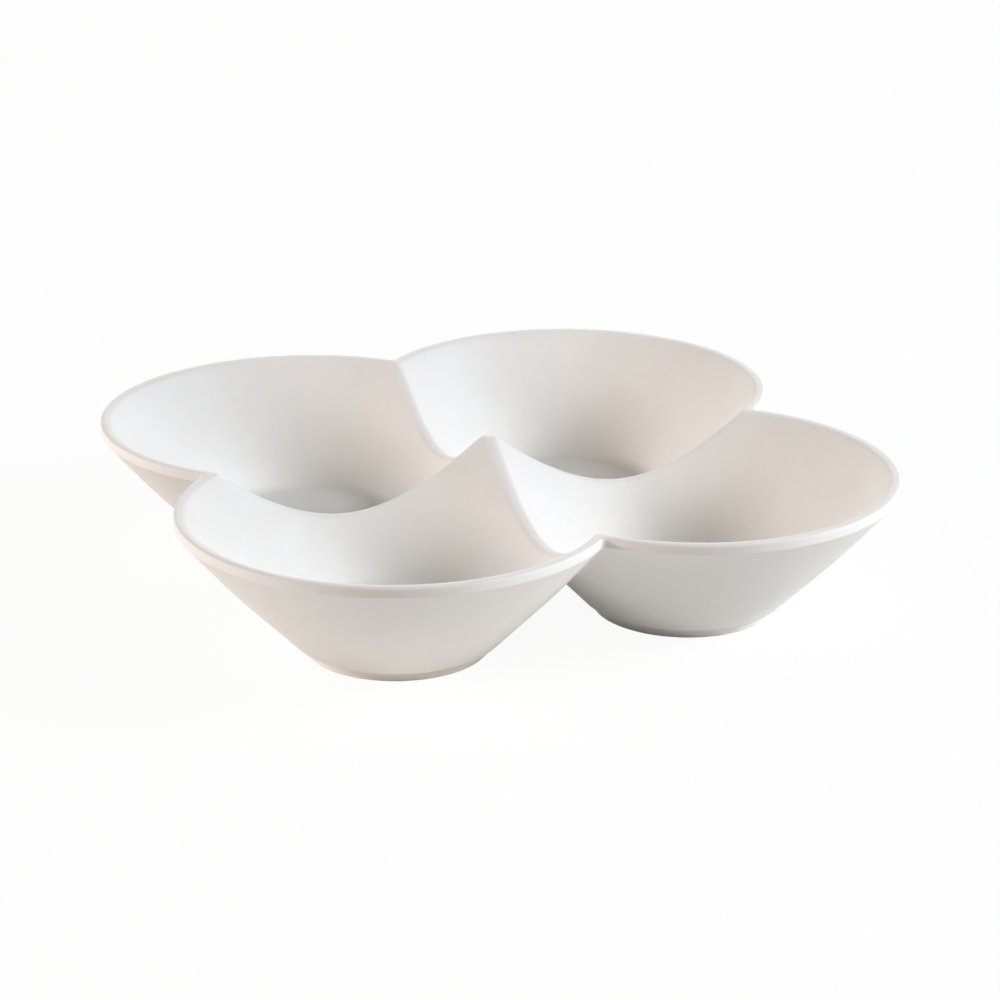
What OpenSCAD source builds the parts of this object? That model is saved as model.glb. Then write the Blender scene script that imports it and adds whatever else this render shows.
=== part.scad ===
// Divided serving bowl: four cone-walled cups that run into one another, each on its own foot ring.
// One quarter of the bowl is described, with its cup centred at [cup_x, cup_x], and turned four times about Z.

/* [Layout] */
// Distance between the centres of two neighbouring cups
cup_pitch = 125; // [120:0.5:130]
// Height of the lips above the table
rim_height = 59.4; // [52:0.1:72]

/* [Cups] */
// Outside radius of a cup at its lip
rim_radius = 87.4; // [84:0.1:90]
// Outside radius at which the wall springs from the base
base_radius = 42; // [38:0.5:44]
// Thickness of the wall, square to its faces
wall_t = 5.9; // [4:0.1:7]
// Thickness of the well floor
floor_t = 5.4; // [5:0.1:8]
// Radius of the curve between the well floor and the wall
well_round = 9; // [4:0.5:14]

/* [Lips] */
// Height of a lip's upright outer face
lip_h = 5; // [4:0.1:6.5]
// How far a lip stands out over the wall under it
lip_overhang = 0.3; // [0.2:0.1:1]
// Radius of a lip's outer edges
lip_round = 1.3; // [0.4:0.1:1.5]
// Radius that turns a lip's top down into the cup
lip_inner_round = 4.5; // [1:0.5:5]

/* [Dividers] */
// Radius of a divider's crest
crest_round = 4; // [2.5:0.1:4.5]
// Radius of the crests where they climb to the centre peak
peak_round = 6.4; // [4:0.1:7]
// Radius of the hollow under a divider
valley_round = 3; // [1.5:0.1:4]
// Width of the strip along a divider that holds its rounds
ridge_w = 14.6; // [12:0.2:18]

/* [Feet] */
// Height of a foot ring
foot_h = 5.2; // [3:0.1:6]
// Outside radius of a foot ring at its top
foot_radius = 39.5; // [35:0.5:40]
// How far a foot ring draws in towards the table
foot_taper = 2.2; // [0.5:0.1:3]
// Width of a foot ring at its top
foot_w = 6.4; // [4.5:0.1:8]
// Radius of the edges that meet the table
foot_round = 0.8; // [0.3:0.1:1.1]

/* [Hidden] */

// Glazed stoneware, and the bare clay of the feet
glaze = [0.93, 0.92, 0.90];
clay = [0.86, 0.82, 0.76];

// Where the cups and their walls lie
cup_x = cup_pitch / 2;
lip_z = rim_height - lip_h;
wall_top_radius = rim_radius - lip_overhang;
wall_k = (lip_z - foot_h) / (wall_top_radius - base_radius);
wall_slope = atan(wall_k);
wall_v = wall_t / cos(wall_slope);
floor_z = foot_h + floor_t;

// The dividers reach this far each side of the line between two cups, past the round of the crest where it is widest
seat_inner_radius = inside_radius(lip_z);
ridge_half = max(ridge_w / 2, soft_reach(wall_k, max(crest_round, peak_round, valley_round)));

// Distance from the cup's axis to the corner of the centre peak, which may lie beyond the seat of the lip
peak_corner_radius = (cup_x - ridge_half) / cos(45);

// Fineness of the round forms, the arcs and the divider patches
facets = 96;
arc_steps = 8;
run_steps = 22;
seat_steps = 4;
across_shares = [-1, -0.75, -0.52, -0.38, -0.26, -0.13, 0, 0.13, 0.26, 0.38, 0.52, 0.75, 1];
solve_steps = 4;

// Height of the inner and outer wall cones at a distance from the cup's axis, and the inner cone's radius at a height
function inside_z(r) = outside_z(r) + wall_v;
function outside_z(r) = foot_h + wall_k * (r - base_radius);
function inside_radius(z) = base_radius + (z - foot_h - wall_v) / wall_k;

// Distance of a point from the axis of its own cup
function cup_distance(x, y) = norm([cup_x - abs(x), cup_x - abs(y)]);

// Two walls of the same slope meet at a sharp edge. A round of radius r touches both walls this far from the edge,
// and lies this much under the walls at a distance d from it.
function soft_reach(slope, r) = r * slope / sqrt(1 + slope * slope);
function softened(d, slope, r) =
  slope > 0 && d < soft_reach(slope, r) ? r * sqrt(1 + slope * slope) - slope * d - sqrt(r * r - d * d) : 0;

// Slope of the wall at [x, y], measured square to the line between two cups that lies d away
function slope_towards(d, r) = wall_k * (cup_x - d) / r;
function crest_round_at(along) =
  crest_round + (peak_round - crest_round) * pow(max(0, 1 - abs(along) / cup_x), 2);

function top_z(x, y, r) =
  inside_z(r) - softened(abs(x), slope_towards(abs(x), r), crest_round_at(y))
  - softened(abs(y), slope_towards(abs(y), r), crest_round_at(x));
function under_z(x, y, r) =
  outside_z(r) - softened(abs(x), slope_towards(abs(x), r), valley_round)
  - softened(abs(y), slope_towards(abs(y), r), valley_round);

// Distance from the cup's axis at which the crest, and the wall under it, reach the seat of the lips
function crest_end_radius(x, r = seat_inner_radius, steps = solve_steps) =
  steps == 0 ? r
  : crest_end_radius(x, inside_radius(lip_z + softened(abs(x), slope_towards(abs(x), r), crest_round)), steps - 1);
function wall_end_radius(x, r = wall_top_radius, steps = solve_steps) =
  steps == 0 ? r
  : wall_end_radius(x, wall_top_radius + softened(abs(x), slope_towards(abs(x), r), valley_round) / wall_k, steps - 1);

// The far side of a cup, at a distance r from its axis and x from the line between the cups
function far_y(x, r) = cup_x + sqrt(r * r - pow(cup_x - abs(x), 2));

// Points of an arc about c, from angle from to angle to
function arc(c, r, from, to) =
  [for (i = [0 : arc_steps]) c + r * [cos(from + (to - from) * i / arc_steps), sin(from + (to - from) * i / arc_steps)]];

// Turns a quarter of the bowl to its place: 0 is back right, and each turn goes on towards the left
module quarter(turns) rotate([0, 0, 90 * turns]) children();

// A closed solid between two patches of points that have the same rows and columns
module patch(top, under, tapers_out = false) {
  rows = len(top);
  cols = len(top[0]);
  count = rows * cols;
  function at(i, j) = i * cols + j;
  function cell(a, b, c, d) = [[a, b, c], [a, c, d]];
  faces = [
    for (i = [0 : rows - 2]) for (j = [0 : cols - 2]) each concat(
      cell(at(i, j), at(i + 1, j), at(i + 1, j + 1), at(i, j + 1)),
      cell(count + at(i, j), count + at(i, j + 1), count + at(i + 1, j + 1), count + at(i + 1, j))
    ),
    for (i = [0 : rows - 2]) each concat(
      side(count, at(i, 0), at(i + 1, 0), tapers_out && i == rows - 2),
      side(count, at(i + 1, cols - 1), at(i, cols - 1), false, tapers_out && i == rows - 2)
    ),
    for (j = [0 : cols - 2]) each concat(
      cell(at(0, j), at(0, j + 1), count + at(0, j + 1), count + at(0, j)),
      tapers_out ? [] : cell(at(rows - 1, j + 1), at(rows - 1, j), count + at(rows - 1, j), count + at(rows - 1, j + 1))
    ),
  ];
  polyhedron(points = concat([for (row = top) each row], [for (row = under) each row]), faces = faces);
}

// The wall of a patch between two neighbouring points a and b of its edge, which may come to nothing at b or at a
function side(count, a, b, ends_at_b = false, ends_at_a = false) =
  ends_at_b ? [[a, count + a, b]]
  : ends_at_a ? [[a, count + b, b]]
  : [[a, count + a, count + b], [a, count + b, b]];

// One cup: well floor and cone wall, up to the seat of its lip and out to the dividers. Where the corner by the
// centre peak lies beyond the seat, the wall goes on above it there.
module cup(turns) color(glaze) quarter(turns) {
  well_corner = inside_radius(floor_z);
  well_reach = well_round * tan(wall_slope / 2);
  profile = concat(
    [[0, foot_h], [base_radius, foot_h], [wall_top_radius, lip_z], [seat_inner_radius, lip_z]],
    arc([well_corner - well_reach, floor_z + well_round], well_round, wall_slope - 90, -90),
    [[0, floor_z]]
  );
  span = cup_x + rim_radius;
  intersection() {
    translate([cup_x, cup_x, 0]) rotate_extrude($fn = facets) polygon(profile);
    translate([ridge_half, ridge_half, 0]) cube([span, span, rim_height]);
  }
  if (peak_corner_radius > seat_inner_radius) intersection() {
    translate([cup_x, cup_x, 0]) rotate_extrude($fn = facets)
      polygon([
        [seat_inner_radius, lip_z], [wall_top_radius, lip_z],
        [span, outside_z(span)], [span, inside_z(span)]
      ]);
    translate([ridge_half, ridge_half, lip_z])
      cube([cup_x - ridge_half, cup_x - ridge_half, inside_z(span) - lip_z]);
  }
}

// One lip, which runs round its cup from the line with one neighbour to the line with the other
module rim(turns) color(glaze) quarter(turns) {
  inner_corner = inside_radius(rim_height);
  half_turn = wall_slope / 2;
  inner_round = min(lip_inner_round, (rim_radius - lip_round - inner_corner) / tan(half_turn));
  inner_centre = [inner_corner + inner_round * tan(half_turn), rim_height - inner_round];
  under_round = min(lip_round, lip_overhang);
  profile = concat(
    [[seat_inner_radius, lip_z]],
    arc([rim_radius - under_round, lip_z + under_round], under_round, -90, 0),
    arc([rim_radius - lip_round, rim_height - lip_round], lip_round, 0, 90),
    arc(inner_centre, inner_round, 90, 90 + wall_slope)
  );
  span = cup_x + rim_radius;
  intersection() {
    translate([cup_x, cup_x, 0]) rotate([0, 0, -90]) rotate_extrude(angle = 270, $fn = facets) polygon(profile);
    cube([span, span, rim_height + lip_h]);
  }
}

// One divider: the ridge where two cups meet, from the centre peak out to the seat of the lips at the notch
module divider(turns) color(glaze) quarter(turns) {
  xs = [for (share = across_shares) share * ridge_half];
  crest_ends = [for (x = xs) far_y(x, crest_end_radius(x))];
  wall_ends = [for (x = xs) far_y(x, wall_end_radius(x))];
  last = len(xs) - 1;
  top = concat(
    [for (i = [0 : run_steps - 1]) [for (j = [0 : last])
      let (x = xs[j], y = ridge_half + (crest_ends[j] - ridge_half) * i / run_steps)
      [x, y, top_z(x, y, cup_distance(x, y))]]],
    [for (i = [0 : seat_steps]) [for (j = [0 : last])
      [xs[j], crest_ends[j] + (wall_ends[j] - crest_ends[j]) * i / seat_steps, lip_z]]]
  );
  under = [for (i = [0 : len(top) - 1]) [for (p = top[i])
    [p.x, p.y, i == len(top) - 1 ? lip_z : under_z(p.x, p.y, cup_distance(p.x, p.y))]]];
  patch(top, under, tapers_out = true);
}

// The peak at the middle, where the four dividers meet
module centre_peak() color(glaze) {
  steps = [for (share = across_shares) share * ridge_half];
  patch(
    [for (y = steps) [for (x = steps) [x, y, top_z(x, y, cup_distance(x, y))]]],
    [for (y = steps) [for (x = steps) [x, y, under_z(x, y, cup_distance(x, y))]]]
  );
}

// One foot ring, left bare of glaze where it stands on the table
module foot_ring(turns) color(clay) quarter(turns) {
  inner = foot_radius - foot_w;
  outer = foot_radius - foot_taper;
  profile = concat(
    [[inner, foot_h]],
    arc([inner + foot_round, foot_round], foot_round, 180, 270),
    arc([outer - foot_round, foot_round], foot_round, -90, 0),
    [[foot_radius, foot_h]]
  );
  translate([cup_x, cup_x, 0]) rotate_extrude($fn = facets) polygon(profile);
}

cup(0);  // cup_back_right
cup(1);  // cup_back_left
cup(2);  // cup_front_left
cup(3);  // cup_front_right
rim(0);  // rim_back_right
rim(1);  // rim_back_left
rim(2);  // rim_front_left
rim(3);  // rim_front_right
divider(0);  // divider_back
divider(1);  // divider_left
divider(2);  // divider_front
divider(3);  // divider_right
centre_peak();
foot_ring(0);  // foot_ring_back_right
foot_ring(1);  // foot_ring_back_left
foot_ring(2);  // foot_ring_front_left
foot_ring(3);  // foot_ring_front_right
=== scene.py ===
import math

import bmesh
import bpy
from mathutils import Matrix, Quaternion, Vector


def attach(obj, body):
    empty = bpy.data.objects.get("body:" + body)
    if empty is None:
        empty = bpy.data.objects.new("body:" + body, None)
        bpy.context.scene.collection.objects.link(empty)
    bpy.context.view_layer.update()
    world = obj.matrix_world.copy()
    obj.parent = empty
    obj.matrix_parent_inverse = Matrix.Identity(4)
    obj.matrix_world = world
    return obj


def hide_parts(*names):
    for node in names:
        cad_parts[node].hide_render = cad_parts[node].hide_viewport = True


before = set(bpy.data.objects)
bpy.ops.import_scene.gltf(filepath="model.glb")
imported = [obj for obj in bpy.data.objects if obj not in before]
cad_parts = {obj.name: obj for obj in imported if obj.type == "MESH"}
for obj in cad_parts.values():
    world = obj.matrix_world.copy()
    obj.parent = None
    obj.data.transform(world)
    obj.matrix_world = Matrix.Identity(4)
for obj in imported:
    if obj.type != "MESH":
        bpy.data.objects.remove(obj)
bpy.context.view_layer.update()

# The cups
# Four cone-walled cups are slip-cast as one thick stoneware bowl and glazed all over in satin white.
# One cup's section is turned about its axis, cut where its neighbours begin, and mirrored to the other three.
CUP_X = 62.5
RIM_HEIGHT = 59.4
RIM_RADIUS = 87.4
BASE_RADIUS = 42.0
WALL = 5.9
FLOOR = 5.4
WELL_ROUND = 9.0
LIP_HEIGHT = 5.0
LIP_OVERHANG = 0.3
LIP_ROUND = 1.4
LIP_INNER_ROUND = 4.5
LIP_FACE = 4.3
LIP_STEP = 0.5
LIP_STEP_DROP = 0.75
LIP_EDGE_ROUND = 0.9
LIP_FADE_ROUND = 1.5
WALL_BULGE_RADIUS = 68.6
WALL_BULGE_HEIGHT = 33.0
WALL_BULGE_ROUND = 300.0
BASE_EDGE_ROUND = 1.0
FOOT_HEIGHT = 5.2
CREST_ROUND = 4.0
PEAK_ROUND = 6.4
VALLEY_ROUND = 3.0
NOTCH_ROUND = 2.5
NOTCH_STARTS = 22
NOTCH_WHOLE = 38
RIDGE_HALF = 7.3

LIP_Z = RIM_HEIGHT - LIP_HEIGHT
WALL_TOP = RIM_RADIUS - LIP_OVERHANG
STEEPNESS = (LIP_Z - FOOT_HEIGHT) / (WALL_TOP - BASE_RADIUS)
SLOPE = math.atan(STEEPNESS)
WALL_DROP = WALL / math.cos(SLOPE)
FLOOR_Z = FOOT_HEIGHT + FLOOR

# How finely the sections are split, in steps and in millimetres
SWEEP_STEPS = 216
WELL_STEPS = 10
WALL_STEPS = 18
CLIMB_STEPS = 12
ROLL_IN_STEPS = 8
ROLL_OUT_STEPS = 6
EDGE_STEPS = 5
LONGEST_STRETCH = 2.6
WELL_RADII = (0, 8, 16, 24)
BASE_RADII = (36, 30, 20, 10, 0)
SHARED_RADIUS = 72
BEYOND_RIM = 6
RIDGE_LOOPS = (0.3, 0.6, 0.95, 1.3, 1.7, 2.1, 2.6, 3.2, 4.2, 5.4, RIDGE_HALF)
ON_PLANE = 0.0005
JOIN_SECTIONS = 0.001
JOIN_QUARTERS = 0.0008


def inside_radius(z):
    """Radius of the inner cone at a height"""
    return BASE_RADIUS + (z - FOOT_HEIGHT - WALL_DROP) / STEEPNESS


def arc(centre, radius, start, end, steps):
    """Points (radius, height) of an arc in a cup's section, from one angle to another"""
    angles = [start + (end - start) * i / steps for i in range(steps + 1)]
    return [(centre[0] + radius * math.cos(a), centre[1] + radius * math.sin(a)) for a in angles]


def line(start, end, steps):
    """Points between two ends of a straight stretch, without the ends"""
    return [tuple(a + (b - a) * i / steps for a, b in zip(start, end)) for i in range(1, steps)]


def rounded_off(corners, steps):
    """Points (radius, height) of a section from the first corner to the last, with those between rounded off"""
    points = []
    for before, (r, z, radius), after in zip(corners, corners[1:-1], corners[2:]):
        corner = Vector((r, z))
        back, on = (Vector(before[:2]) - corner).normalized(), (Vector(after[:2]) - corner).normalized()
        half = back.angle(on) / 2
        centre = corner + (back + on).normalized() * (radius / math.sin(half))
        start, end = (corner + way * (radius / math.tan(half)) - centre for way in (back, on))
        first = math.atan2(start.y, start.x)
        turned = (math.atan2(end.y, end.x) - first + math.pi) % (2 * math.pi) - math.pi
        points += arc(centre, radius, first, first + turned, steps)
    return points


def split_long(points, longest):
    """Splits every stretch of a section that is longer than that"""
    split = points[:1]
    for a, b in zip(points, points[1:]):
        split += line(a, b, math.ceil(math.dist(a, b) / longest)) + [b]
    return split


def turn_round(points, bm, start, angle, steps):
    """Turns a section about the cup's axis, from a start angle through an angle"""
    direction = Vector((math.cos(start), math.sin(start)))
    axis = Vector((CUP_X, CUP_X, 0))
    verts = [bm.verts.new((axis.x + r * direction.x, axis.y + r * direction.y, z)) for r, z, _ in points]
    outward = bm.verts.layers.float["outward"]
    for vert, (_, _, share) in zip(verts, points):
        vert[outward] = share
    edges = [bm.edges.new(pair) for pair in zip(verts, verts[1:])]
    bmesh.ops.spin(bm, geom=verts + edges, cent=axis, axis=(0, 0, 1), angle=angle, steps=steps,
                   use_merge=False)


def cut(bm, place, normal, **settings):
    """Cuts all of a mesh at a plane"""
    whole = [*bm.verts, *bm.edges, *bm.faces]
    return bmesh.ops.bisect_plane(bm, geom=whole, dist=ON_PLANE, plane_co=place, plane_no=normal, **settings)


def softened(away, slope, radius):
    """What a round of that radius takes off the edge between two walls of one slope, at a distance from it"""
    if slope <= 0 or away >= radius * slope / math.sqrt(1 + slope * slope):
        return 0.0
    return radius * math.sqrt(1 + slope * slope) - slope * away - math.sqrt(radius * radius - away * away)


def crest_round_at(along):
    """The crests grow rounder as they climb to the peak"""
    return CREST_ROUND + (PEAK_ROUND - CREST_ROUND) * max(0.0, 1 - along / CUP_X) ** 2


def blend(low, high, value):
    """Goes smoothly from 0 at low to 1 at high"""
    share = min(1.0, max(0.0, (value - low) / (high - low)))
    return share * share * (3 - 2 * share)


def soften_point(co, outward, rise):
    """Moves a point of the sharp quarter to its place on the rounded crests, valleys and notches"""
    r = math.hypot(CUP_X - co.x, CUP_X - co.y)
    moved = co.copy()
    for across, along in ((0, 1), (1, 0)):
        away, far = co[across], co[along]
        if away > RIDGE_HALF:
            continue
        slope = rise * (CUP_X - away) / r
        drop = softened(away, slope, crest_round_at(far) if outward < 0.5 else VALLEY_ROUND)
        sideways = 0.0
        if outward > 0:
            spread = max(1.0, math.sqrt(max(0.0, r * r - (CUP_X - away) ** 2)))
            at_notch = blend(CUP_X + NOTCH_STARTS, CUP_X + NOTCH_WHOLE, far)
            sideways = softened(away, (CUP_X - away) / spread, NOTCH_ROUND) * outward * at_notch
            drop *= 1 - at_notch if outward > 0.5 else 1
        moved.z -= drop
        moved[along] += sideways
    return moved


def turn_and_cut():
    """One sharp-edged quarter of the bowl, up to the planes where its two neighbours begin"""
    well_corner = inside_radius(FLOOR_Z)
    well_centre = (well_corner - WELL_ROUND * math.tan(SLOPE / 2), FLOOR_Z + WELL_ROUND)
    well = arc(well_centre, WELL_ROUND, -math.pi / 2, SLOPE - math.pi / 2, WELL_STEPS)
    inner_corner = inside_radius(RIM_HEIGHT)
    centre_r = inner_corner + LIP_INNER_ROUND * math.tan(SLOPE / 2)
    roll_in = arc((centre_r, RIM_HEIGHT - LIP_INNER_ROUND), LIP_INNER_ROUND,
                  math.pi / 2 + SLOPE, math.pi / 2, ROLL_IN_STEPS)
    roll_out = arc((RIM_RADIUS - LIP_ROUND, RIM_HEIGHT - LIP_ROUND), LIP_ROUND, math.pi / 2, 0, ROLL_OUT_STEPS)
    floor = [(r, FLOOR_Z) for r in WELL_RADII] + well
    wall_up = line(well[-1], roll_in[0], WALL_STEPS)
    base = [(r, FOOT_HEIGHT) for r in BASE_RADII]
    lip_foot = RIM_HEIGHT - LIP_FACE
    outside = [
        roll_out[-1],
        (RIM_RADIUS, lip_foot, LIP_EDGE_ROUND),
        (RIM_RADIUS - LIP_STEP, lip_foot - LIP_STEP * LIP_STEP_DROP, LIP_FADE_ROUND),
        (WALL_BULGE_RADIUS, WALL_BULGE_HEIGHT, WALL_BULGE_ROUND),
        (BASE_RADIUS, FOOT_HEIGHT, BASE_EDGE_ROUND),
        base[0],
    ]
    wall_down = split_long(rounded_off(outside, EDGE_STEPS), LONGEST_STRETCH)
    top = line(roll_in[-1], roll_out[0], 2)
    with_lip = ([(r, z, 0.0) for r, z in floor + wall_up + roll_in] + [(r, z, 0.5) for r, z in top]
                + [(r, z, 1.0) for r, z in roll_out + wall_down + base])

    # Beside the peak there is no lip, and both walls climb on past the middle of the bowl
    beyond = RIM_RADIUS + BEYOND_RIM
    shared = [p for p in wall_up if p[0] < SHARED_RADIUS]
    shared_down = [p for p in wall_down if p[0] < SHARED_RADIUS]
    climb = (beyond, FOOT_HEIGHT + WALL_DROP + STEEPNESS * (beyond - BASE_RADIUS))
    fall = (beyond, FOOT_HEIGHT + STEEPNESS * (beyond - BASE_RADIUS))
    to_centre = ([(r, z, 0.0) for r, z in floor + shared + line(shared[-1], climb, CLIMB_STEPS) + [climb]]
                 + [(r, z, 1.0) for r, z in [fall] + line(fall, shared_down[0], CLIMB_STEPS) + shared_down + base])

    bm = bmesh.new()
    bm.verts.layers.float.new("outward")
    turn_round(with_lip, bm, -math.pi / 2, math.pi * 1.5, SWEEP_STEPS * 3 // 4)
    turn_round(to_centre, bm, math.pi, math.pi / 2, SWEEP_STEPS // 4)
    bmesh.ops.remove_doubles(bm, verts=bm.verts, dist=JOIN_SECTIONS)

    # The neighbours begin at the planes through the bowl's axis, and loops beside them carry the rounds
    for normal in ((1, 0, 0), (0, 1, 0)):
        cut(bm, (0, 0, 0), normal, clear_inner=True)
        for away in RIDGE_LOOPS:
            cut(bm, (normal[0] * away, normal[1] * away, 0), normal)
    outward = bm.verts.layers.float["outward"]
    roll_start = roll_in[0][0]
    places = {}
    for vert in bm.verts:
        for i in (0, 1):
            if abs(vert.co[i]) < JOIN_SECTIONS:
                vert.co[i] = 0.0
        r = math.hypot(CUP_X - vert.co.x, CUP_X - vert.co.y)
        far_side = max(vert.co.x, vert.co.y) > CUP_X
        rise = STEEPNESS
        if far_side and vert[outward] < 0.5 and r > roll_start:
            lean = min(1.0, max(0.0, (centre_r - r) / LIP_INNER_ROUND))
            rise = min(lean / math.sqrt(max(1e-6, 1 - lean * lean)), STEEPNESS)
        elif far_side and vert[outward] >= 0.3 and vert.co.z > LIP_Z:
            rise = 0.0
        places[vert] = soften_point(vert.co, vert[outward], rise)
    for vert, place in places.items():
        vert.co = place
    return bm


bowl = turn_and_cut()
for axis in ("X", "Y"):
    whole = [*bowl.verts, *bowl.edges, *bowl.faces]
    bmesh.ops.mirror(bowl, geom=whole, merge_dist=JOIN_QUARTERS, axis=axis)
bmesh.ops.remove_doubles(bowl, verts=bowl.verts, dist=ON_PLANE)
bmesh.ops.recalc_face_normals(bowl, faces=bowl.faces)
cut(bowl, (0, 0, LIP_Z), (0, 0, 1))

# The glaze runs unbroken over every join, so each point keeps the direction the whole bowl faces there
bowl.normal_update()
facing = bowl.verts.layers.float_vector.new("facing")
for vert in bowl.verts:
    vert[facing] = vert.normal


def trim(bm, place, keep):
    """Cuts a solid piece at a plane, keeps the side that the direction points to, and closes the cut"""
    seam = cut(bm, place, keep, clear_inner=True)["geom_cut"]
    close(bm, [e for e in seam if isinstance(e, bmesh.types.BMEdge) and e.is_valid and len(e.link_faces) == 1])


def close(bm, edges):
    """Closes a flat cut with a flat face"""
    filled = bmesh.ops.holes_fill(bm, edges=edges, sides=0)
    for face in filled["faces"]:
        face.smooth = False


def part_of_bowl():
    """A copy of the whole bowl to cut a piece from"""
    part = bowl.copy()
    for face in part.faces:
        face.smooth = True
    return part


MILLIMETRE = 0.001


def finish_piece(bm, name, glaze, slot, *nodes):
    """Brings a piece to metres, makes its object and hides the solids it stands for"""
    bmesh.ops.scale(bm, vec=(MILLIMETRE, MILLIMETRE, MILLIMETRE), verts=bm.verts)
    mesh = bpy.data.meshes.new(name)
    bm.to_mesh(mesh)
    bm.free()
    if "facing" in mesh.attributes:
        facings = [0.0] * (3 * len(mesh.vertices))
        mesh.attributes["facing"].data.foreach_get("vector", facings)
        normals = [(0.0, 0.0, 0.0)] * len(mesh.loops)
        for poly in mesh.polygons:
            if poly.use_smooth:
                for i in poly.loop_indices:
                    v = mesh.loops[i].vertex_index
                    normals[i] = tuple(facings[3 * v:3 * v + 3])
        mesh.normals_split_custom_set(normals)
        mesh.attributes.remove(mesh.attributes["facing"])
    mesh.materials.append(glaze)
    piece = bpy.data.objects.new(name, mesh)
    bpy.context.scene.collection.objects.link(piece)
    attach(piece, "root")
    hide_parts(*nodes)


class Tone:
    """A value that varies over a surface, on which sums are written out; each adds its own Math node"""

    def __init__(self, tree, socket=None):
        self.tree, self.socket = tree, socket

    def node(self, kind, inputs, output=0, **settings):
        """A node of that kind with its settings, and the values or links of its sockets"""
        made = self.tree.nodes.new(kind)
        for key, value in settings.items():
            setattr(made, key, value)
        for key, value in inputs.items():
            if isinstance(value, Tone):
                self.tree.links.new(value.socket, made.inputs[key])
            else:
                made.inputs[key].default_value = value
        return Tone(self.tree, made.outputs[output] if made.outputs else None)

    def sum(self, operation, *values):
        return self.node("ShaderNodeMath", dict(enumerate(values)), operation=operation)

    def __add__(self, other):
        return self.sum("ADD", self, other)

    def __sub__(self, other):
        return self.sum("SUBTRACT", self, other)

    def __rsub__(self, other):
        return self.sum("SUBTRACT", other, self)

    def __mul__(self, other):
        return self.sum("MULTIPLY", self, other)

    __radd__ = __add__
    __rmul__ = __mul__

    def ramp(self, low, high):
        """0 below low and 1 above high, smoothly between"""
        sockets = {"Value": self, "From Min": low, "From Max": high}
        return self.node("ShaderNodeMapRange", sockets, interpolation_type="SMOOTHSTEP")


def stain(tone, colour_a, colour_b, amount):
    """Mixes two colours by an amount that varies over the surface"""
    return tone.node("ShaderNodeMix", {0: amount, 6: colour_a, 7: colour_b}, output=2, data_type="RGBA")


def noise(place, scale, detail, roughness):
    """Cloudy noise over the bowl; the scale is in patches to the metre"""
    sockets = {"Vector": place, "Scale": scale, "Detail": detail, "Roughness": roughness}
    return place.node("ShaderNodeTexNoise", sockets)


def feed(value, shader, socket):
    """Links a value to one of the shader's sockets"""
    value.tree.links.new(value.socket, shader.inputs[socket])


def start_glaze(name):
    """A new material and its shader, with the place on the bowl to draw patterns by"""
    material = bpy.data.materials.new(name)
    material.use_nodes = True
    shader = material.node_tree.nodes["Principled BSDF"]
    tone = Tone(material.node_tree)
    place = tone.node("ShaderNodeTexCoord", {}, output="Object")
    return material, shader, tone, place


# Satin white glaze: barely warm, thinner on some stretches than on others, with a fine eggshell texture
THICK_GLAZE = (0.785, 0.765, 0.73, 1)
THIN_GLAZE = (0.76, 0.735, 0.695, 1)
PALE_FLECK = (0.81, 0.795, 0.77, 1)
GLAZE_ROUGHNESS = 0.54
GLAZE_BUMP = {"Strength": 0.10, "Distance": 0.0004}
GLAZE_IOR = 1.48


def glaze_colour(tone, cloud):
    """The glaze's own colour, where it lies thick and where thin"""
    return stain(tone, THICK_GLAZE, THIN_GLAZE, cloud.ramp(0.35, 0.7))


satin, shader, tone, place = start_glaze("satin_white_glaze")
cloud = noise(place, 22.0, 3.0, 0.55)
mottle = noise(place, 240.0, 3.0, 0.6)
eggshell = noise(place, 900.0, 2.0, 0.5)
ripple = noise(place, 60.0, 1.0, 0.4)
feed(stain(tone, glaze_colour(tone, cloud), PALE_FLECK, mottle.ramp(0.45, 0.8) * 0.35), shader, "Base Color")
feed(GLAZE_ROUGHNESS + cloud * 0.08 + eggshell * 0.06, shader, "Roughness")
feed(tone.node("ShaderNodeBump", {"Height": eggshell * 0.35 + ripple * 1.4, **GLAZE_BUMP}), shader, "Normal")
shader.inputs["IOR"].default_value = GLAZE_IOR

QUARTERS = {"front_left": (-1, -1), "front_right": (1, -1), "back_left": (-1, 1), "back_right": (1, 1)}
for quarter, (sx, sy) in QUARTERS.items():
    cup = part_of_bowl()
    trim(cup, (sx * RIDGE_HALF, 0, 0), (sx, 0, 0))
    trim(cup, (0, sy * RIDGE_HALF, 0), (0, sy, 0))
    trim(cup, (0, 0, LIP_Z), (0, 0, -1))
    finish_piece(cup, "cup_" + quarter + "_glazed", satin, "glaze", "cup_" + quarter)

# The lips
# Each cup's lip stands upright on the leaning wall and ends below in a small soft step.
# It is cast with the cup, wiped round on top with a sponge, and meets its neighbours at the notches.
for quarter, (sx, sy) in QUARTERS.items():
    lip = part_of_bowl()
    trim(lip, (0, 0, 0), (sx, 0, 0))
    trim(lip, (0, 0, 0), (0, sy, 0))
    trim(lip, (0, 0, LIP_Z), (0, 0, 1))
    by_peak = [v for v in lip.verts if max(abs(v.co.x), abs(v.co.y)) < CUP_X]
    bmesh.ops.delete(lip, geom=by_peak, context="VERTS")
    finish_piece(lip, "lip_" + quarter + "_glazed", satin, "glaze", "rim_" + quarter)

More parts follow.
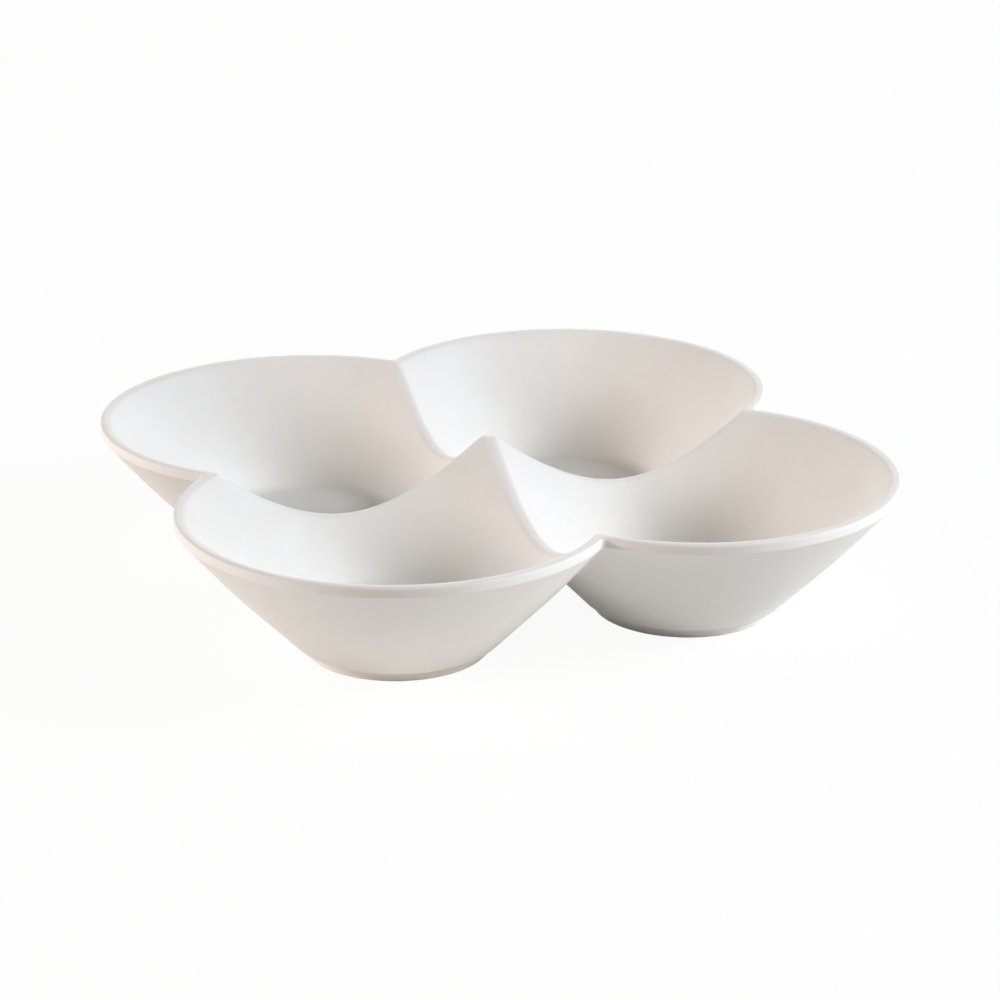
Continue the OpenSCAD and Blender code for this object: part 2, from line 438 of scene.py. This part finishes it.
# The dividers and the centre peak
# Where two cups run into one another their walls meet in a rounded crest, lowest half way out.
# The crests climb from there to the notches and to one blunt peak at the middle, all cast with the cups.
SEAT_SLACK = 0.0001
DIVIDERS = {"front": (0, -1), "back": (0, 1), "left": (-1, 0), "right": (1, 0)}
for side, (dx, dy) in DIVIDERS.items():
    crest = part_of_bowl()
    out = Vector((dx, dy, 0))
    across = Vector((abs(dy), abs(dx), 0))
    trim(crest, out * RIDGE_HALF, out)
    trim(crest, across * RIDGE_HALF, -across)
    trim(crest, -across * RIDGE_HALF, across)
    cut(crest, (0, 0, LIP_Z), (0, 0, 1))
    middles = [(f, f.calc_center_median()) for f in crest.faces]
    over_seat = [f for f, middle in middles if middle.z > LIP_Z + SEAT_SLACK and middle.dot(out) > CUP_X]
    bmesh.ops.delete(crest, geom=over_seat, context="FACES")
    close(crest, [e for e in crest.edges if len(e.link_faces) == 1])
    finish_piece(crest, "crest_" + side + "_glazed", satin, "glaze", "divider_" + side)

peak = part_of_bowl()
for out in (Vector((1, 0, 0)), Vector((-1, 0, 0)), Vector((0, 1, 0)), Vector((0, -1, 0))):
    trim(peak, out * RIDGE_HALF, -out)
finish_piece(peak, "peak_glazed", satin, "glaze", "centre_peak")
bowl.free()

# The foot rings
# A low ring under each cup lifts it off the table. Glaze runs down its sides, and its standing edge is wiped bare,
# so that fine-grained buff clay shows there.
FOOT_RADIUS = 39.5
FOOT_TAPER = 2.2
FOOT_WIDTH = 6.4
FOOT_ROUND = 0.8
FOOT_SIDE_STEPS = 4
FOOT_ROUND_STEPS = 6
FOOT_FLAT_STEPS = 3
DARK_BUFF = (0.62, 0.53, 0.43, 1)
LIGHT_BUFF = (0.71, 0.63, 0.53, 1)
IRON_SPECK = (0.42, 0.33, 0.25, 1)
CLAY_ROUGHNESS = 0.85
CLAY_BUMP = {"Strength": 0.35, "Distance": 0.0003}

# The glaze ends a few tenths of a millimetre above the table, on a line that wavers a little
clay, shader, tone, place = start_glaze("wiped_foot")
height_above = tone.node("ShaderNodeSeparateXYZ", {0: place}, output=2)
waver = noise(place, 70.0, 3.0, 0.6)
grain = noise(place, 1600.0, 3.0, 0.7)
speck = tone.node("ShaderNodeTexVoronoi", {"Vector": place, "Scale": 700.0}, output="Distance")
cloud = noise(place, 22.0, 3.0, 0.55)
glazed = (height_above + (waver - 0.5) * 0.0009).ramp(0.0002, 0.0005)
buff = stain(tone, DARK_BUFF, LIGHT_BUFF, grain.ramp(0.3, 0.7))
buff = stain(tone, IRON_SPECK, buff, speck.ramp(0.05, 0.22))
feed(stain(tone, buff, glaze_colour(tone, cloud), glazed), shader, "Base Color")
feed(CLAY_ROUGHNESS - glazed * 0.43 + grain * 0.06, shader, "Roughness")
texture = grain * (1.1 - glazed) + glazed * 0.8
feed(tone.node("ShaderNodeBump", {"Height": texture, **CLAY_BUMP}), shader, "Normal")

for quarter, (sx, sy) in QUARTERS.items():
    inner, outer = FOOT_RADIUS - FOOT_WIDTH, FOOT_RADIUS - FOOT_TAPER
    inside_edge, outside_edge = (inner + FOOT_ROUND, FOOT_ROUND), (outer - FOOT_ROUND, FOOT_ROUND)
    section = ([(inner, FOOT_HEIGHT)]
               + line((inner, FOOT_HEIGHT), (inner, FOOT_ROUND), FOOT_SIDE_STEPS)
               + arc(inside_edge, FOOT_ROUND, math.pi, 1.5 * math.pi, FOOT_ROUND_STEPS)
               + line((inner + FOOT_ROUND, 0), (outer - FOOT_ROUND, 0), FOOT_FLAT_STEPS)
               + arc(outside_edge, FOOT_ROUND, -math.pi / 2, 0, FOOT_ROUND_STEPS)
               + line((outer, FOOT_ROUND), (FOOT_RADIUS, FOOT_HEIGHT), FOOT_SIDE_STEPS)
               + [(FOOT_RADIUS, FOOT_HEIGHT)])
    ring = bmesh.new()
    centre = Vector((sx * CUP_X, sy * CUP_X, 0))
    verts = [ring.verts.new((centre.x + r, centre.y, z)) for r, z in section]
    edges = [ring.edges.new(pair) for pair in zip(verts, verts[1:] + verts[:1])]
    bmesh.ops.spin(ring, geom=verts + edges, cent=centre, axis=(0, 0, 1), angle=2 * math.pi,
                   steps=SWEEP_STEPS, use_merge=True)
    bmesh.ops.remove_doubles(ring, verts=ring.verts, dist=JOIN_SECTIONS)
    bmesh.ops.recalc_face_normals(ring, faces=ring.faces)
    for face in ring.faces:
        face.smooth = face.calc_center_median().z < FOOT_HEIGHT - JOIN_SECTIONS
    finish_piece(ring, "foot_" + quarter, clay, "bare_foot", "foot_ring_" + quarter)

# The table and the studio
# The bowl stands on a plain white sweep. Soft boxes stand low at both sides, a cooler and a warmer one at each,
# so that the light runs across the cups and leaves a dark hollow in each well; a weak one is behind.
SWEEP_REACH = 3.0
SWEEP_DROP = 0.00005
SWEEP_COLOUR = (0.95, 0.935, 0.905, 1)
SWEEP_GLOW = 0.94
ROOM_COLOUR = (1.0, 0.97, 0.93, 1)
ROOM_STRENGTH = 0.02
WHITE = (1, 1, 1, 1)

# The sweep lies a hair under the feet, so that no face of it shares a plane with them
floor_mesh = bpy.data.meshes.new("sweep")
sweep = bmesh.new()
bmesh.ops.create_grid(sweep, x_segments=8, y_segments=8, size=SWEEP_REACH)
bmesh.ops.translate(sweep, vec=(0, 0, -SWEEP_DROP), verts=sweep.verts)
sweep.to_mesh(floor_mesh)
sweep.free()
floor = bpy.data.objects.new("sweep", floor_mesh)
bpy.context.scene.collection.objects.link(floor)


def start_backdrop(owner):
    """An empty node tree, and where the background shows white: to the eye, in a gloss and through glass"""
    owner.use_nodes = True
    owner.node_tree.nodes.clear()
    tone = Tone(owner.node_tree)
    seen, mirrored, through = (tone.node("ShaderNodeLightPath", {}, output=ray)
                               for ray in ("Is Camera Ray", "Is Glossy Ray", "Is Transmission Ray"))
    return tone, tone.sum("MINIMUM", seen + mirrored + through, 1.0)


paper = bpy.data.materials.new("white_sweep")
tone, white_share = start_backdrop(paper)
matt = tone.node("ShaderNodeBsdfDiffuse", {"Color": SWEEP_COLOUR})
glow = tone.node("ShaderNodeEmission", {"Color": WHITE, "Strength": 1.0})
mixed = tone.node("ShaderNodeMixShader", {0: white_share * SWEEP_GLOW, 1: matt, 2: glow})
tone.node("ShaderNodeOutputMaterial", {"Surface": mixed})
floor_mesh.materials.append(paper)

world = bpy.data.worlds.new("studio")
bpy.context.scene.world = world
tone, white_share = start_backdrop(world)
room = tone.node("ShaderNodeBackground", {"Color": ROOM_COLOUR, "Strength": ROOM_STRENGTH})
white_room = tone.node("ShaderNodeBackground", {"Color": WHITE, "Strength": 1.0})
mixed = tone.node("ShaderNodeMixShader", {0: white_share, 1: room, 2: white_room})
tone.node("ShaderNodeOutputWorld", {"Surface": mixed})


KEY_SIZE = 0.83
FILL_SIZE = 0.96
AIM = Vector((0, 0, 0.03))


def lamp(name, power, size, colour, place):
    """A soft square lamp that points at the middle of the bowl"""
    light = bpy.data.lights.new(name, "AREA")
    light.energy, light.size, light.color = power, size, colour
    made = bpy.data.objects.new(name, light)
    made.location = place
    made.rotation_euler = (AIM - Vector(place)).to_track_quat("-Z", "Y").to_euler()
    bpy.context.scene.collection.objects.link(made)


lamp("cool_key", 36.2, KEY_SIZE, (0.66, 0.77, 1.0), (1.98, -0.75, 1.16))
lamp("warm_key", 36.2, KEY_SIZE, (1.0, 0.97, 0.88), (1.69, -1.21, 1.23))
lamp("left_back", 33.1, FILL_SIZE, (0.87, 0.94, 1.0), (-2.46, 0.93, 0.99))
lamp("left_front", 40.4, FILL_SIZE, (1.0, 0.82, 0.73), (-2.62, 0.26, 0.99))
lamp("back", 15.7, FILL_SIZE, (0.98, 1.0, 0.91), (0.93, 2.46, 0.99))

# The camera
# It stands low in front and a little to the left, far back with a long lens.
DISTANCE = 1.143
LOOK_AT = Vector((0, 0, 0.0294))
turn, dip, roll = math.radians(20.77), math.radians(20.10), math.radians(0.16)

camera_data = bpy.data.cameras.new("camera")
camera = bpy.data.objects.new("camera", camera_data)
forward = Vector((math.sin(turn) * math.cos(dip), math.cos(turn) * math.cos(dip), -math.sin(dip)))
camera.location = LOOK_AT - forward * DISTANCE
camera.rotation_euler = (forward.to_track_quat("-Z", "Y") @ Quaternion((0, 0, 1), roll)).to_euler()
camera_data.sensor_width = 36
camera_data.lens = 96.7
camera_data.shift_x = 0.0116
camera_data.shift_y = 0.0066
bpy.context.scene.collection.objects.link(camera)
bpy.context.scene.camera = camera
bpy.context.scene.view_settings.view_transform = "Standard"
